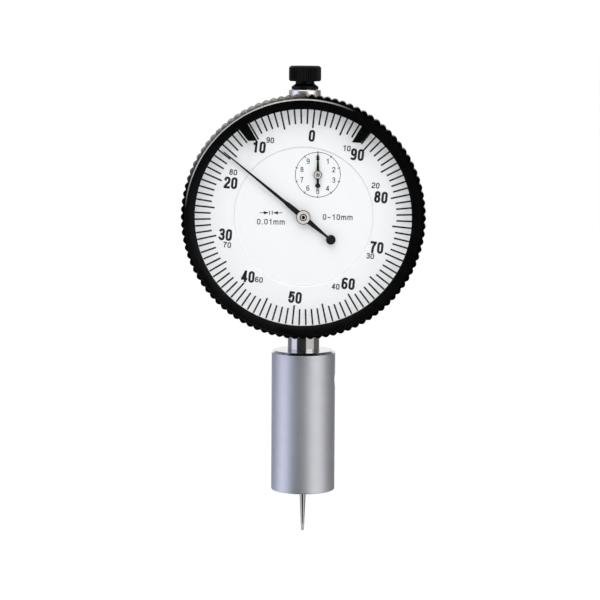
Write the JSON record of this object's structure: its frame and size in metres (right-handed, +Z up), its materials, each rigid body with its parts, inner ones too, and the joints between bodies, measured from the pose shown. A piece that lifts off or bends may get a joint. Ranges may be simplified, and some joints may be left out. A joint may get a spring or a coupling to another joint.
{
  "type": "dial depth gauge",
  "caption": "Dial depth gauge with a cylindrical measuring base, a needle contact point, a turning bezel with limit markers, and a small revolution counter.",
  "frame": {"origin": "centre of the measuring face of the base, on the spindle axis", "axes": "+Z up along the spindle, the dial faces -Y, +X to the reader's right"},
  "size_m": [0.06, 0.0235, 0.1171],
  "materials": {
    "case_metal": "satin",
    "back_metal": "satin",
    "stem_chrome": "polished",
    "bush_brass": "satin",
    "bush_chrome": "satin",
    "base_metal": "satin",
    "screw_steel": "blackened",
    "plate_steel": "satin",
    "spring_steel": "polished",
    "arbor_steel": "polished",
    "plate_brass": "satin",
    "wheel_brass": "polished",
    "dial_white": "matt",
    "spindle_steel": "ground",
    "needle_chrome": "polished",
    "knob_black": "semi-gloss",
    "hand_black": "matt",
    "hub_chrome": "polished",
    "bezel_black": "semi-gloss",
    "crystal": "clear",
    "spacer_grey": "matt",
    "marker_black": "semi-gloss"
  },
  "bodies": {
    "housing": {"case": "case_metal", "back_cover": "back_metal", "stem": "stem_chrome", "lower_guide_bush": "bush_brass", "upper_guide_bush": "bush_chrome", "measuring_base": "base_metal", "base_clamp_screw": "screw_steel", "guide_bar": "plate_steel", "return_spring": "spring_steel", "spring_post": "arbor_steel", "movement_back_plate": "plate_brass", "movement_front_plate": "plate_brass", "plate_pillars": "plate_brass", "pinion_bridge": "plate_brass", "hairspring": "spring_steel", "hairspring_stud": "arbor_steel", "dial_disc": "dial_white"},
    "spindle_rod": {"spindle": "spindle_steel", "contact_needle": "needle_chrome", "lifting_knob": "knob_black", "guide_pin": "arbor_steel"},
    "drive_arbor": {"rack_pinion": "arbor_steel", "drive_wheel": "wheel_brass"},
    "centre_arbor": {"centre_pinion": "arbor_steel", "pointer": "hand_black", "pointer_hub": "hub_chrome"},
    "counter_arbor": {"take_up_arbor": "arbor_steel", "take_up_wheel": "wheel_brass", "hairspring_collet": "bush_brass", "counter_hand": "hand_black", "counter_hand_hub": "hub_chrome"},
    "bezel_ring": {"bezel": "bezel_black", "glass": "crystal", "glass_spacer": "spacer_grey", "scale_ring": "dial_white"},
    "marker_left": {"limit_marker_left": "marker_black"},
    "marker_right": {"limit_marker_right": "marker_black"}
  },
  "joints": [
    {"name": "spindle_slide", "type": "slide", "parent": "housing", "child": "spindle_rod", "axis": [0, 0, 1], "range_m": [0, 0.0108], "stiffness_N_per_m": 50, "springref_m": -0.015, "deforming": ["return_spring"]},
    {"name": "drive_arbor_turn", "type": "hinge", "parent": "housing", "child": "drive_arbor", "pos_m": [-0.00346, 0, 0.05932], "axis": [0, -1, 0], "range_deg": [-5, 395]},
    {"name": "pointer_turn", "type": "hinge", "parent": "housing", "child": "centre_arbor", "pos_m": [0, 0, 0.0697], "axis": [0, -1, 0], "range_deg": [-3900, 10]},
    {"name": "counter_turn", "type": "hinge", "parent": "housing", "child": "counter_arbor", "pos_m": [0.00346, 0, 0.08008], "axis": [0, -1, 0], "range_deg": [-5, 395]},
    {"name": "bezel_turn", "type": "hinge", "parent": "housing", "child": "bezel_ring", "pos_m": [0, 0, 0.0697], "axis": [0, -1, 0], "continuous": true},
    {"name": "left_marker_turn", "type": "hinge", "parent": "bezel_ring", "child": "marker_left", "pos_m": [0, 0, 0.0697], "axis": [0, -1, 0], "range_deg": [-28, 135]},
    {"name": "right_marker_turn", "type": "hinge", "parent": "bezel_ring", "child": "marker_right", "pos_m": [0, 0, 0.0697], "axis": [0, -1, 0], "range_deg": [-135, 27]}
  ],
  "couplings": [
    {"joint": "drive_arbor_turn", "follows": "spindle_slide", "rad_per_m": 628.32},
    {"joint": "pointer_turn", "follows": "spindle_slide", "rad_per_m": -6283.2},
    {"joint": "counter_turn", "follows": "spindle_slide", "rad_per_m": 628.32}
  ]
}
